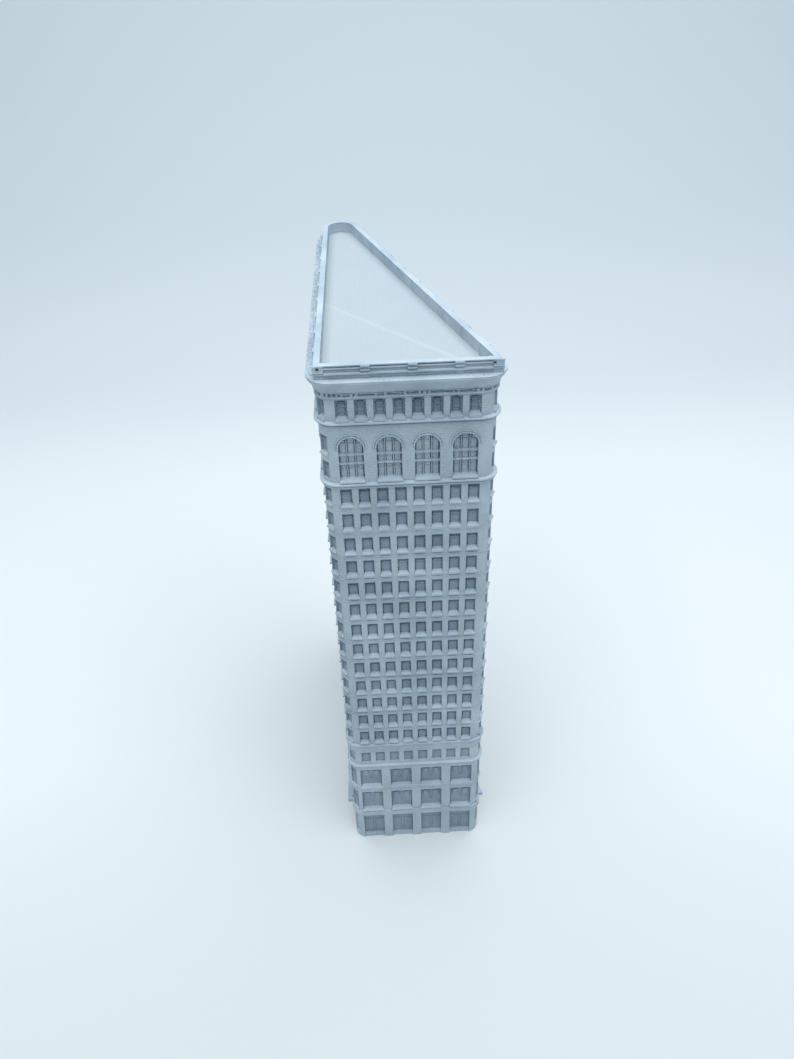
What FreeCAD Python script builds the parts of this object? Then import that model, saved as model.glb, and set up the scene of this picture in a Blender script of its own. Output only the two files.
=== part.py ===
import FreeCAD, Part
import Sketcher
import math
import os

# Display model of a triangular office tower, about 1:570, standing on its base.
# +X right along the short front, +Y back to the prow, +Z up, origin under the middle of the plan.
# Every level is a height above the base; every outline is an offset of one wall line.

vec = FreeCAD.Vector
doc = FreeCAD.newDocument("tower_model")
sheet = doc.addObject("Spreadsheet::Sheet", "params")

SIZES = [
    # plan
    ("plan_shift_x", 17.45),       # left wall plane to the origin
    ("plan_shift_y", 40.4),        # front wall plane to the origin
    ("corner_radius", 3.15),
    ("corner_spacing", 28.6),      # between the centres of the two front corners
    ("flank_angle", 70.9),         # between the front and the long right flank
    ("prow_radius", 4.8),
    ("prow_centre_y", 75.95),      # front wall plane to the prow's centre
    ("prow_turn", 189.55),
    # levels, each the underside of the course it names
    ("ledge_level", 11.0),
    ("second_level", 12.7),
    ("third_level", 22.2),
    ("base_belt_level", 32.3),
    ("fourth_level", 33.3),
    ("shaft_belt_level", 40.7),
    ("shaft_level", 41.75),
    ("storey_pitch", 6.31),
    ("arcade_sill_level", 122.57),
    ("arcade_level", 123.9),
    ("attic_belt_level", 136.9),
    ("attic_level", 138.1),
    ("dentil_level", 143.2),
    ("cornice_level", 144.75),
    ("parapet_level", 147.3),
    ("ledge_of_parapet", 148.25),
    ("upper_band_level", 148.5),
    ("fillet_level", 149.2),
    ("neck_level", 149.5),
    ("coping_level", 149.78),
    ("total_height", 150.0),
    # narrow windows
    ("window_pitch", 3.72),
    ("window_width", 2.38),
    ("window_height", 3.98),
    ("window_depth", 1.0),
    ("window_rise", 0.83),         # storey floor line to the window's foot
    ("front_start", 3.3),          # left wall plane to the first window
    ("left_pitch", 3.95),
    ("left_start", 1.6),
    ("right_pitch", 4.2),
    ("right_start", 1.9),
    ("corner_width", 2.15),
    ("corner_turn_left", -52.0),
    ("corner_turn_right", 68.0),
    ("sill_proud", 0.5),
    ("corner_sill_inset", 0.3),    # corner sills start this far inside the curve
    ("sill_ear", 0.12),
    ("sill_thick", 0.5),
    ("sill_slope", 0.4),
    ("sill_taper", 0.36),          # each side, from the sill's front edge to the recess's back
    # string course on the lower shaft
    ("string_proud", 0.14),
    ("string_thick", 0.28),
    # attic and fourth storey windows
    ("attic_pitch", 3.66),
    ("attic_start", 3.55),
    ("attic_height", 4.15),
    ("attic_rise", 0.5),
    ("attic_depth", 1.3),
    ("fourth_height", 3.9),
    ("fourth_rise", 0.9),
    ("fourth_depth", 0.6),
    # wide bays of the base
    ("bay_pitch", 8.05),
    ("bay_start", 2.6),
    ("bay_width", 5.65),
    ("bay_depth", 1.1),
    ("bay_left_pitch", 7.9),
    ("bay_left_start", 1.95),
    ("bay_right_pitch", 8.4),
    ("bay_right_start", 2.35),
    ("shop_height", 10.75),
    ("shop_depth", 1.25),
    ("shop_step", 1.3),
    ("second_rise", 0.75),
    ("second_height", 7.75),
    ("third_rise", 1.5),
    ("third_height", 7.1),
    # arcade
    ("arch_pitch", 7.56),
    ("arch_start", 3.52),
    ("arch_width", 5.0),
    ("arch_rise", 0.5),
    ("arch_spring", 8.1),          # arcade floor line to the springing
    ("arch_depth", 1.5),
    ("arch_left_start", 2.3),
    ("arch_right_start", 2.65),
    ("low_light_rise", 0.5),
    ("low_light_height", 4.25),
    ("high_light_rise", 6.7),
    ("high_light_height", 4.1),
    # projections beyond the wall line
    ("flank_ledge_proud", 1.7),
    ("front_ledge_proud", 0.45),
    ("ledge_return", 4.2),         # front wall plane to where the flank ledge begins
    # parapet, on a line of its own with tighter corners
    ("parapet_shift_x", 17.25),
    ("parapet_shift_y", 40.4),
    ("parapet_corner", 0.8),
    ("parapet_spacing", 33.1),
    ("parapet_prow", 4.18),
    ("parapet_prow_y", 76.22),
    ("parapet_thick", 1.1),
    ("band_recess", 0.2),
    ("neck_recess", 0.4),
    ("thin_ledge_proud", 0.45),
    ("coping_proud", 0.12),
    ("deck_rise", 0.2),
    ("post_width", 1.45),
    ("post_proud", 0.15),
    ("post_depth", 1.05),
    ("front_post_pitch", 8.8),
    ("front_post_start", 8.72),
    ("left_post_pitch", 8.0),
    ("left_post_start", 4.45),
    ("right_post_pitch", 8.6),
    ("right_post_start", 5.25),
    ("corner_post", 1.9),
    ("socket_width", 0.6),
]
for row, (alias, value) in enumerate(SIZES, start=1):
    sheet.set("A%d" % row, alias.replace("_", " "))
    sheet.set("B%d" % row, str(value))
    sheet.setAlias("B%d" % row, alias)
doc.recompute()

FRONT_COUNT = 8
FLANK_COUNT = 18
FRONT_BAYS = 4
FLANK_BAYS = 9
SHAFT_STOREYS = 13
LINED_STOREYS = 10
FIRST_SHAFT_STOREY = 5
FRONT_POSTS = 3
LEFT_POSTS = 9
RIGHT_POSTS = 8

OUTSIDE = 1.5       # how far a cutter starts outside the wall

nodes = []


def size(alias):
    return float(sheet.get(alias))


def words(text):
    # "window_pitch*2" becomes an expression on the sheet's cells
    out = text
    for alias in sorted((item[0] for item in SIZES), key=len, reverse=True):
        out = out.replace("$" + alias, "params." + alias)
    return out


def bind(obj, **expressions):
    for prop, text in expressions.items():
        obj.setExpression(prop.replace("__", "."), words(text))


def place(obj, across="0", back="0", up="0", turn=None):
    obj.setExpression("Placement.Base.x", words(across))
    obj.setExpression("Placement.Base.y", words(back))
    obj.setExpression("Placement.Base.z", words(up))
    if turn is not None:
        obj.Placement.Rotation = FreeCAD.Rotation(vec(0, 0, 1), 1)
        obj.setExpression("Placement.Rotation.Angle", words(turn))


def node(obj, label):
    obj.Label = label
    nodes.append(obj)
    return obj


# ---- outlines -------------------------------------------------------------

WALL_LINE = ("$plan_shift_x", "$plan_shift_y", "$corner_radius", "$corner_spacing",
             "$prow_radius", "$prow_centre_y")
CROWN_LINE = ("$parapet_shift_x", "$parapet_shift_y", "$parapet_corner", "$parapet_spacing",
              "$parapet_prow", "$parapet_prow_y")


def outline(name, offset="0", line=WALL_LINE, corner=None):
    # three walls and three rounded corners, held by tangencies and the sheet;
    # offset moves every wall outwards, and corner sets the front radius when it can't follow
    shift_x, shift_y, radius, spacing, prow, prow_y = line
    left, front, small, wide, big, deep = [size(alias[1:]) for alias in line]
    sketch = doc.addObject("Sketcher::SketchObject", name)
    lean = math.radians(90 - size("flank_angle"))
    out = vec(math.cos(lean), math.sin(lean), 0)
    near_left = vec(small - left, small - front, 0)
    near_right = near_left + vec(wide, 0, 0)
    far = vec(big - left, deep - front, 0)
    up = vec(0, 0, 1)
    quarter = math.pi / 2
    for item in (
            Part.LineSegment(near_left + vec(0, -small, 0), near_right + vec(0, -small, 0)),
            Part.ArcOfCircle(Part.Circle(near_right, up, small), -quarter, lean),
            Part.LineSegment(near_right + out * small, far + out * big),
            Part.ArcOfCircle(Part.Circle(far, up, big), lean, math.pi),
            Part.LineSegment(far + vec(-big, 0, 0), near_left + vec(-small, 0, 0)),
            Part.ArcOfCircle(Part.Circle(near_left, up, small), math.pi, 3 * quarter)):
        sketch.addGeometry(item, False)
    rule = Sketcher.Constraint
    for edge in range(6):
        sketch.addConstraint(rule("Tangent", edge, 2, (edge + 1) % 6, 1))
    sketch.addConstraint([rule("Horizontal", 0), rule("Vertical", 4)])
    if corner is None:
        turn, centres = "%s + (%s)" % (radius, offset), spacing
    else:
        turn = corner
        centres = ("%s + (%s + (%s) - %s)*(1 + (1 + cos($flank_angle))/sin($flank_angle))"
                   % (spacing, radius, offset, corner))
    for constraint, text in (
            (rule("Radius", 5, small), turn),
            (rule("Radius", 1, small), turn),
            (rule("Radius", 3, big), "%s + (%s)" % (prow, offset)),
            (rule("DistanceX", 5, 3, 1, 3, wide), centres),
            (rule("DistanceX", 4, 1, -1, 1, left), "%s + (%s)" % (shift_x, offset)),
            (rule("DistanceY", 0, 1, -1, 1, front), "%s + (%s)" % (shift_y, offset)),
            (rule("DistanceY", 0, 1, 3, 3, deep), "%s + (%s)" % (prow_y, offset))):
        index = sketch.addConstraint(constraint)
        sketch.setExpression("Constraints[%d]" % index, words(text))
    return sketch


wall = outline("wall_line")


def plate(name, outline, floor, thick):
    slab = doc.addObject("Part::Extrusion", name)
    slab.Base = outline
    slab.DirMode = "Custom"
    slab.Dir = vec(0, 0, 1)
    slab.Solid = True
    bind(slab, LengthFwd=thick)
    place(slab, up=floor)
    return slab


def fuse(name, shapes):
    joined = doc.addObject("Part::MultiFuse", name)
    joined.Shapes = shapes
    joined.Refine = False
    return joined


def cut(name, base, tool):
    rest = doc.addObject("Part::Cut", name)
    rest.Base = base
    rest.Tool = tool
    rest.Refine = False
    return rest


def common(name, shapes):
    shared = doc.addObject("Part::MultiCommon", name)
    shared.Shapes = shapes
    shared.Refine = False
    return shared


def group(name, members):
    bundle = doc.addObject("Part::Compound", name)
    bundle.Links = members
    return bundle


def box(name, across, back, up, wide, deep, high):
    solid = doc.addObject("Part::Box", name)
    bind(solid, Length=wide, Width=deep, Height=high)
    place(solid, across, back, up)
    return solid


# ---- the six places where openings stand ----------------------------------
# Each run is drawn along its own X with the wall's face on its own Y = 0 and outside at -Y,
# then turned onto its wall. Corner runs are drawn round the corner's centre.

RUNS = {
    "front": ("-$plan_shift_x", "-$plan_shift_y", "0"),
    "left": ("-$plan_shift_x", "$prow_centre_y - $plan_shift_y", "-90"),
    "right": ("$corner_radius + $corner_spacing + $corner_radius*sin($flank_angle) - $plan_shift_x",
              "$corner_radius + $corner_radius*cos($flank_angle) - $plan_shift_y",
              "180 - $flank_angle"),
    "near_left": ("$corner_radius - $plan_shift_x", "$corner_radius - $plan_shift_y",
                  "$corner_turn_left"),
    "near_right": ("$corner_radius + $corner_spacing - $plan_shift_x",
                   "$corner_radius - $plan_shift_y", "$corner_turn_right"),
    "prow": ("$prow_radius - $plan_shift_x", "$prow_centre_y - $plan_shift_y", "$prow_turn"),
    "front_posts": ("-$parapet_shift_x", "-$parapet_shift_y", "0"),
    "left_posts": ("-$parapet_shift_x", "$parapet_prow_y - $parapet_shift_y", "-90"),
    "right_posts": ("$parapet_corner*(1 + sin($flank_angle)) + $parapet_spacing - $parapet_shift_x",
                    "$parapet_corner*(1 + cos($flank_angle)) - $parapet_shift_y",
                    "180 - $flank_angle"),
}


def turned(name, run, members):
    bundle = group(name, members)
    across, back, turn = RUNS[run]
    place(bundle, across, back, "0", turn)
    return bundle


def spots(front, left, right, counts):
    # start and pitch of every opening: (run, centre along the wall, wall's own Y)
    found = []
    for run, (start, pitch, wide), count in zip(("front", "left", "right"), (front, left, right), counts):
        for index in range(count):
            found.append((run, "%s + %d*%s + %s/2" % (start, index, pitch, wide), "0"))
    return found


def cornerSpots():
    return [("near_left", "0", "-$corner_radius"),
            ("near_right", "0", "-$corner_radius"),
            ("prow", "0", "-$prow_radius")]


def narrowSpots(front_start="$front_start", front_pitch="$window_pitch"):
    wide = "$window_width"
    return spots((front_start, front_pitch, wide),
                 ("$left_start", "$left_pitch", wide),
                 ("$right_start", "$right_pitch", wide),
                 (FRONT_COUNT, FLANK_COUNT, FLANK_COUNT))


def baySpots():
    wide = "$bay_width"
    return spots(("$bay_start", "$bay_pitch", wide),
                 ("$bay_left_start", "$bay_left_pitch", wide),
                 ("$bay_right_start", "$bay_right_pitch", wide),
                 (FRONT_BAYS, FLANK_BAYS, FLANK_BAYS))


def archSpots():
    wide = "$arch_width"
    return spots(("$arch_start", "$arch_pitch", wide),
                 ("$arch_left_start", "$bay_left_pitch", wide),
                 ("$arch_right_start", "$bay_right_pitch", wide),
                 (FRONT_BAYS, FLANK_BAYS, FLANK_BAYS))


def openings(name, places, wide, rise, high, deep):
    # square-headed recesses, ready to be cut from a storey
    made = {}
    for index, (run, centre, face) in enumerate(places):
        one = box("%s_%d" % (name, index), "%s - %s/2" % (centre, wide),
                  "%s - %s" % (face, OUTSIDE), rise, wide, "%s + %s" % (OUTSIDE, deep), high)
        made.setdefault(run, []).append(one)
    return [turned("%s_%s" % (name, run), run, items) for run, items in made.items()]


def sills(name, places, wide, rise, deep, inset="0"):
    # sills with a sloped top that narrows as it runs back into the recess
    made = {}
    for index, (run, centre, face) in enumerate(places):
        one = doc.addObject("Part::Wedge", "%s_%d" % (name, index))
        half = "(%s/2 + $sill_ear)" % wide
        narrow = "(%s/2 - $sill_taper)" % wide
        bind(one, Xmin="-" + half, Xmax=half, X2min="-" + narrow, X2max=narrow,
             Ymin="-$sill_proud", Ymax="%s + 0.1 - %s" % (deep, inset), Zmin="0", Zmax="$sill_thick - 0.12",
             Z2min="0", Z2max="$sill_thick + $sill_slope")
        place(one, centre, "%s + %s" % (face, inset), "%s - $sill_thick" % rise)
        made.setdefault(run, []).append(one)
    return [turned("%s_%s" % (name, run), run, items) for run, items in made.items()]


def archOpenings(name, places):
    # round-headed recesses: a box up to the springing and a cylinder above it
    made = {}
    for index, (run, centre, face) in enumerate(places):
        shaft = box("%s_leg_%d" % (name, index), "%s - $arch_width/2" % centre,
                    "%s - %s" % (face, OUTSIDE), "$arch_rise", "$arch_width",
                    "%s + $arch_depth" % OUTSIDE, "$arch_spring - $arch_rise")
        head = doc.addObject("Part::Cylinder", "%s_head_%d" % (name, index))
        bind(head, Radius="$arch_width/2", Height="%s + $arch_depth" % OUTSIDE)
        head.Placement.Rotation = FreeCAD.Rotation(vec(1, 0, 0), -90)
        head.setExpression("Placement.Base.x", words(centre))
        head.setExpression("Placement.Base.y", words("%s - %s" % (face, OUTSIDE)))
        head.setExpression("Placement.Base.z", words("$arch_spring"))
        made.setdefault(run, []).append(fuse("%s_%d" % (name, index), [shaft, head]))
    return [turned("%s_%s" % (name, run), run, items) for run, items in made.items()]


def storey(name, body, recesses, trims):
    # wall block, less its recesses, with its sills on
    opened = cut(name + "_opened", body, group(name + "_recesses", recesses))
    return fuse(name, [opened] + trims)


def raised(name, source, level):
    # the same piece again at its own level
    copy = group(name, [source])
    place(copy, up=level)
    return node(copy, name)


# ---- mouldings --------------------------------------------------------------

def moulding(name, level, profile):
    # a solid course whose edge follows (beyond the wall line, above the level) pairs
    sections = []
    for index, (proud, high) in enumerate(profile):
        line = outline("%s_line_%d" % (name, index), str(proud))
        place(line, up="$%s + %s" % (level, high))
        sections.append(line)
    loft = doc.addObject("Part::Loft", name)
    loft.Sections = sections
    loft.Solid = True
    loft.Ruled = True
    return node(loft, name)


def ring(name, line, outer, inner, floor, thick, outer_corner=None, inner_corner=None):
    return cut(name,
               plate(name + "_outer", outline(name + "_outer_line", outer, line, outer_corner),
                     floor, thick),
               plate(name + "_inner", outline(name + "_inner_line", inner, line, inner_corner),
                     floor + " - 1", thick + " + 2"))


# ---- ground storey to fourth storey ----------------------------------------

shops = openings("shop", baySpots(), "$bay_width", "-0.5", "$shop_height + 0.5", "$shop_depth")
shop_lights = openings("shop_light", cornerSpots(), "$corner_width", "1.6", "$shop_height - 2.2",
                       "$fourth_depth")
ground = cut("ground_opened", plate("ground_block", wall, "0", "$ledge_level"),
             group("ground_recesses", shops + shop_lights))
shop_step = plate("shop_step", outline("shop_step_line", "-0.35"), "0", "$shop_step")
node(fuse("ground_storey", [ground, shop_step]), "ground_storey")

node(plate("ground_ledge", outline("ground_ledge_line", "$front_ledge_proud"),
           "$ledge_level", "$second_level - $ledge_level"), "ground_ledge")

canopy = ring("flank_canopy", WALL_LINE, "$flank_ledge_proud", "$front_ledge_proud",
              "$ledge_level + 0.25", "1.2")


def zone(name, across, back, wide, deep):
    return box(name, across, back, "0", wide, deep, "$total_height + 1")


def quarters(name, source, line, near):
    # one ring sawn into its front, left, right and prow lengths
    shift_x, shift_y, corner, spacing, prow, prow_y = line
    ahead = zone(name + "_ahead", "-%s - 5" % shift_x, "-%s - 5" % shift_y, "%s + 20" % spacing,
                 "5 + %s" % near)
    rear = zone(name + "_rear", "-%s - 5" % shift_x, "%s - %s" % (prow_y, shift_y), "30", "20")
    side = zone(name + "_side", "-%s - 5" % shift_x, "-%s" % shift_y, "5 + 3", prow_y)
    other = zone(name + "_other", "3 - %s" % shift_x, "-%s" % shift_y, "%s + 5" % spacing, prow_y)
    middle = cut(name + "_middle", source, fuse(name + "_ends", [ahead, rear]))
    return {
        "front": common(name + "_front_length", [source, ahead]),
        "prow": common(name + "_prow_length", [source, rear]),
        "left": common(name + "_left_length", [middle, side]),
        "right": common(name + "_right_length", [middle, other]),
    }


ledges = quarters("canopy", canopy, WALL_LINE, "$ledge_return")
node(ledges["left"], "left_flank_ledge")
node(ledges["right"], "right_flank_ledge")
node(ledges["prow"], "prow_ledge")

for name, level, above, rise, high in (
        ("second_storey", "$second_level", "$third_level", "$second_rise", "$second_height"),
        ("third_storey", "$third_level", "$base_belt_level", "$third_rise", "$third_height")):
    body = plate(name + "_block", wall, "0", "%s - %s" % (above, level))
    wide_bays = openings(name + "_bay", baySpots(), "$bay_width", rise, high, "$bay_depth")
    lights = openings(name + "_light", cornerSpots(), "$corner_width", rise, high, "$fourth_depth")
    trims = sills(name + "_sill", baySpots(), "$bay_width", rise, "$bay_depth")
    trims += sills(name + "_corner_sill", cornerSpots(), "$corner_width", rise, "$fourth_depth",
                   "$corner_sill_inset")
    raised(name, storey(name + "_made", body, wide_bays + lights, trims), level)

moulding("base_belt", "base_belt_level",
         [(0.02, 0), (0.3, 0.1), (0.3, 0.35), (0.6, 0.5), (0.6, 0.8), (0.02, 1.0)])

fourth = storey("fourth_made", plate("fourth_block", wall, "0", "$shaft_belt_level - $fourth_level"),
                openings("fourth_light", narrowSpots(), "$window_width", "$fourth_rise",
                         "$fourth_height", "$fourth_depth")
                + openings("fourth_corner", cornerSpots(), "$corner_width", "$fourth_rise",
                           "$fourth_height", "$fourth_depth"),
                [plate("frieze_line", outline("frieze_edge", "$string_proud"),
                       "$fourth_rise + $fourth_height + 0.25", "$string_thick")])
raised("fourth_storey", fourth, "$fourth_level")

moulding("shaft_belt", "shaft_belt_level",
         [(0.02, 0), (0.35, 0.12), (0.35, 0.4), (0.62, 0.55), (0.62, 0.85), (0.02, 1.05)])

# ---- thirteen typical storeys ------------------------------------------------

window_cuts = (openings("window", narrowSpots(), "$window_width", "$window_rise", "$window_height",
                        "$window_depth")
               + openings("corner_window", cornerSpots(), "$corner_width", "$window_rise",
                          "$window_height", "$window_depth"))
window_sills = (sills("sill", narrowSpots(), "$window_width", "$window_rise", "$window_depth")
                + sills("corner_sill", cornerSpots(), "$corner_width", "$window_rise",
                        "$window_depth", "$corner_sill_inset"))
string_line = plate("string_course", outline("string_edge", "$string_proud"),
                    "$storey_pitch - $string_thick - 0.35", "$string_thick")
plain = storey("plain_storey", plate("storey_block", wall, "0", "$storey_pitch"), window_cuts,
               window_sills)
lined = fuse("lined_storey", [plain, string_line])
top_cut = zone("top_storey_room", "-$plan_shift_x - 5", "-$plan_shift_y - 5", "60", "100")
bind(top_cut, Height="$arcade_sill_level - $shaft_level - %d*$storey_pitch" % (SHAFT_STOREYS - 1))
topmost = common("top_storey", [plain, top_cut])

for index in range(SHAFT_STOREYS):
    source = lined if index < LINED_STOREYS else plain
    if index == SHAFT_STOREYS - 1:
        source = topmost
    raised("storey_%02d" % (index + FIRST_SHAFT_STOREY), source,
           "$shaft_level + %d*$storey_pitch" % index)

# ---- arcade, attic and cornice ------------------------------------------------

moulding("arcade_sill", "arcade_sill_level",
         [(0.02, 0), (0.4, 0.06), (0.4, 0.34), (0.2, 0.44), (0.2, 0.6), (0.7, 0.78), (0.7, 1.06),
          (0.02, 1.33)])

arcade = storey("arcade_made", plate("arcade_block", wall, "0", "$attic_belt_level - $arcade_level"),
                archOpenings("arch", archSpots())
                + openings("low_light", cornerSpots(), "$corner_width", "$low_light_rise",
                           "$low_light_height", "$window_depth")
                + openings("high_light", cornerSpots(), "$corner_width", "$high_light_rise",
                           "$high_light_height", "$window_depth"),
                sills("arch_sill", archSpots(), "$arch_width", "$arch_rise", "$arch_depth")
                + sills("high_light_sill", cornerSpots(), "$corner_width", "$high_light_rise",
                        "$window_depth", "$corner_sill_inset"))
raised("arcade_storeys", arcade, "$arcade_level")

moulding("attic_belt", "attic_belt_level",
         [(0.02, 0), (0.3, 0.05), (0.3, 0.22), (0.12, 0.3), (0.12, 0.45), (0.4, 0.62), (0.85, 0.8),
          (0.85, 1.02), (0.05, 1.2)])

attic_places = narrowSpots("$attic_start", "$attic_pitch")
attic = storey("attic_made", plate("attic_block", wall, "0", "$dentil_level - $attic_level"),
               openings("attic_light", attic_places, "$window_width", "$attic_rise",
                        "$attic_height", "$attic_depth")
               + openings("attic_corner", cornerSpots(), "$corner_width", "$attic_rise",
                          "$attic_height", "$window_depth"),
               sills("attic_sill", attic_places, "$window_width", "$attic_rise", "$attic_depth")
               + sills("attic_corner_sill", cornerSpots(), "$corner_width", "$attic_rise",
                       "$window_depth", "$corner_sill_inset"))
raised("attic_storey", attic, "$attic_level")

moulding("dentil_band", "dentil_level",
         [(0.35, 0), (0.35, 0.25), (-0.3, 0.35), (-0.3, 1.15), (0.5, 1.25), (0.5, 1.55)])
moulding("cornice", "cornice_level",
         [(0.55, 0), (0.6, 0.15), (0.72, 0.5), (1.0, 1.0), (1.35, 1.4), (1.55, 1.75), (1.62, 2.0),
          (1.7, 2.05), (1.7, 2.45), (1.6, 2.55)])

# ---- roof ------------------------------------------------------------------------

node(plate("roof_deck", outline("deck_line", "-$parapet_thick", CROWN_LINE, "0.3"), "$parapet_level",
           "$deck_rise"), "roof_deck")

post_high = "$coping_level - $parapet_level"


def postRow(name, run, count, start, pitch, proud, back, up, high):
    made = []
    for index in range(count):
        made.append(box("%s_%d" % (name, index), "%s + %d*%s" % (start, index, pitch),
                        "-%s" % proud, up, "$post_width", "%s + %s" % (proud, back), high))
    return turned(name, run, made)


# each post fills a slot sawn through the parapet from outside to inside
slots = []
for side, count in (("front", FRONT_POSTS), ("left", LEFT_POSTS), ("right", RIGHT_POSTS)):
    run = side + "_posts"
    start, pitch = "$%s_post_start" % side, "$%s_post_pitch" % side
    node(postRow(run, run, count, start, pitch, "$post_proud", "$post_depth",
                 "$parapet_level", post_high), run)
    slots.append(postRow(side + "_slots", run, count, start, pitch, "1", "$parapet_thick + 0.5",
                         "$parapet_level - 1", post_high + " + 2"))


def cornerBlocks(name, proud, depth, up, high):
    # a square block on the left corner and a rhombic one on the right
    left = box(name + "_left", "-$parapet_shift_x - %s" % proud, "-$parapet_shift_y - %s" % proud,
               up, depth, depth, high)
    strip = box(name + "_strip", "0", "-$parapet_shift_y - %s" % proud, up, "30", depth, high)
    flank = turned(name + "_flank", "right_posts",
                   [box(name + "_flank_strip", "-8", "-%s" % proud, up, "16", depth, high)])
    return left, common(name + "_right", [strip, flank])


left_post, right_post = cornerBlocks("corner_block", "$post_proud", "$corner_post",
                                     "$parapet_level", post_high)
slots += cornerBlocks("corner_slot", "1", "$corner_post + 1 - $post_proud",
                      "$parapet_level - 1", post_high + " + 2")
socket_up = "$parapet_level + 1.7"
left_socket = box("left_socket", "-$parapet_shift_x + 0.35", "-$parapet_shift_y - 1", socket_up,
                  "$socket_width", "1 + $socket_width", "$socket_width")
right_socket = box("right_socket",
                   "$parapet_corner + $parapet_spacing - $parapet_shift_x - 0.75",
                   "-$parapet_shift_y - 1", socket_up, "$socket_width", "1 + $socket_width",
                   "$socket_width")
node(cut("left_corner_post", left_post, left_socket), "left_corner_post")
node(cut("right_corner_post", right_post, right_socket), "right_corner_post")

lower_band = ring("lower_band", CROWN_LINE, "0", "-$parapet_thick", "$parapet_level",
                  "$ledge_of_parapet - $parapet_level", None, "0.3")
thin_ledge = ring("thin_ledge", CROWN_LINE, "$thin_ledge_proud", "-$parapet_thick",
                  "$ledge_of_parapet", "$upper_band_level - $ledge_of_parapet", None, "0.3")
upper_band = ring("upper_band", CROWN_LINE, "-$band_recess", "-$parapet_thick",
                  "$upper_band_level", "$fillet_level - $upper_band_level", None, "0.3")
fillet = ring("fillet", CROWN_LINE, "0.12", "-$parapet_thick", "$fillet_level",
              "$neck_level - $fillet_level", None, "0.3")
neck = ring("neck", CROWN_LINE, "-$neck_recess", "-$parapet_thick", "$neck_level",
            "$coping_level - $neck_level", None, "0.3")
screen = cut("screen", fuse("screen_bands", [lower_band, thin_ledge, upper_band, fillet, neck]),
             fuse("all_slots", slots))
coping_ring = ring("coping_ring", CROWN_LINE, "$coping_proud", "-$parapet_thick", "$coping_level",
                   "$total_height - $coping_level", None, "0.3")

for kind, source in (("parapet", screen), ("coping", coping_ring)):
    for side, length in quarters(kind, source, CROWN_LINE, "$parapet_thick").items():
        node(length, "%s_%s" % (kind, side))

doc.recompute()

# ---- checks and export -------------------------------------------------------------

failed = [obj.Name for obj in doc.Objects if "Invalid" in obj.State or "Error" in obj.State]
if failed:
    raise SystemExit("failed: " + ", ".join(failed))
os.makedirs("parts", exist_ok=True)
empty = [obj.Label for obj in nodes
         if obj.Shape.isNull() or not obj.Shape.isValid() or not obj.Shape.Solids]
if empty:
    raise SystemExit("no valid solid in: " + ", ".join(empty))
for obj in nodes:
    shape = obj.Shape
    shape.exportStep("parts/%s.step" % obj.Label)
    room = shape.BoundBox
    print("%-20s %2d solid %9.2f mm3  z %7.2f to %7.2f"
          % (obj.Label, len(shape.Solids), shape.Volume, room.ZMin, room.ZMax))
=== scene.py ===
import math
import random

import bpy
from mathutils import Matrix, Vector


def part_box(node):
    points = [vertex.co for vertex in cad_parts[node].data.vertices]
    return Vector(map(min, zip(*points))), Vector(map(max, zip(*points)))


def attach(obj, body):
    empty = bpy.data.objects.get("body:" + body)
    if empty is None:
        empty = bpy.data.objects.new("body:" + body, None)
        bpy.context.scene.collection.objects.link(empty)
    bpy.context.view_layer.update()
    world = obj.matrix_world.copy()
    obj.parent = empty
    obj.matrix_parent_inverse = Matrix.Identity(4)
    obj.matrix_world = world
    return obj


# Looks of a small printed tower model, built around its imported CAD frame.
# Pieces are modelled in millimetres, one window or arch at a time, then copied
# round the walls in metres. A run is one wall: X along it, -Y out of it, Z up.

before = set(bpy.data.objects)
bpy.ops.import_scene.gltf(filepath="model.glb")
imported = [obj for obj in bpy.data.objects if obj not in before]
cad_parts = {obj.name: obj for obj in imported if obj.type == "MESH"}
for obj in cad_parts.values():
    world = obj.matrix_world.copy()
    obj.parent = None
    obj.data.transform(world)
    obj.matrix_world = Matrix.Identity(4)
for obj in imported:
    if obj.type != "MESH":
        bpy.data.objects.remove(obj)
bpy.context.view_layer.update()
mm = 0.001
closeBy = 1e-4  # mm, how near two points count as level
facingOut = -0.9  # Y of a normal that counts as outward
dice = random.Random(17)


def nodeLevel(name):
    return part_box(name)[0].z / mm


# plan of the walls
plan = {
    "cornerRadius": 3.15,
    "cornerSpacing": 28.6,
    "flankAngle": 70.9,  # degrees, front wall to right flank
    "prowRadius": 4.8,
    "leftCornerTurn": -52.0,  # degrees, where the corner windows face
    "rightCornerTurn": 68.0,
    "prowTurn": 189.55,
}

# line of the parapet posts, which stand further out than the walls
parapet = {"left": -17.25, "front": -40.4, "cornerRadius": 0.8, "cornerSpacing": 33.1,
           "prowY": 35.82}

wallLow, wallHigh = [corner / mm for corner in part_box("ground_storey")]
lean = math.radians(90 - plan["flankAngle"])
flankTurn = 180 - plan["flankAngle"]
flankOut = Vector((math.cos(lean), math.sin(lean), 0))
nearLeft = Vector((wallLow.x + plan["cornerRadius"], wallLow.y + plan["cornerRadius"], 0))
nearRight = nearLeft + Vector((plan["cornerSpacing"], 0, 0))
prowCentre = Vector((wallLow.x + plan["prowRadius"], wallHigh.y - plan["prowRadius"], 0))
crownCorner = Vector((parapet["left"] + parapet["cornerRadius"] + parapet["cornerSpacing"],
                      parapet["front"] + parapet["cornerRadius"], 0))


def runMatrix(origin, turn):
    return Matrix.Translation(origin) @ Matrix.Rotation(math.radians(turn), 4, "Z")


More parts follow.
